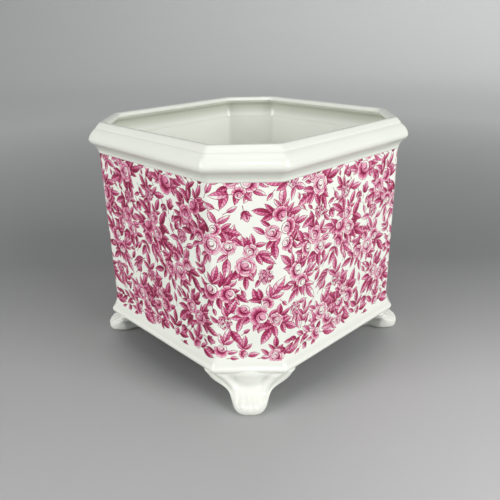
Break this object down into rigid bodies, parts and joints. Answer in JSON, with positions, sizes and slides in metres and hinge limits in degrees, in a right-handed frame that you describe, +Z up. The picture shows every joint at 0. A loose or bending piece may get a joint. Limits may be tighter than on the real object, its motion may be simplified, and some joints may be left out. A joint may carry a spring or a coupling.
{
  "type": "flower pot",
  "caption": "Square porcelain flower pot with cut corners, a moulded cornice rim, a flared plinth, corner feet and a red floral transfer print on its sides.",
  "frame": {"origin": "on the ground, under the middle of the pot", "axes": "+Z up out of the mouth; +X and -Y are square to two neighbouring wide faces"},
  "size_m": [0.182, 0.182, 0.165],
  "materials": {
    "glaze": "clear gloss glaze on white porcelain",
    "print": "red transfer print of flowers under clear gloss glaze"
  },
  "bodies": {
    "root": {"body_wall": "glaze", "rim_moulding": "glaze", "plinth_moulding": "glaze", "floor_slab": "glaze", "foot_front_right": "glaze", "foot_back_right": "glaze", "foot_back_left": "glaze", "foot_front_left": "glaze", "transfer_front": "print", "transfer_right": "print", "transfer_back": "print", "transfer_left": "print"}
  },
  "joints": []
}
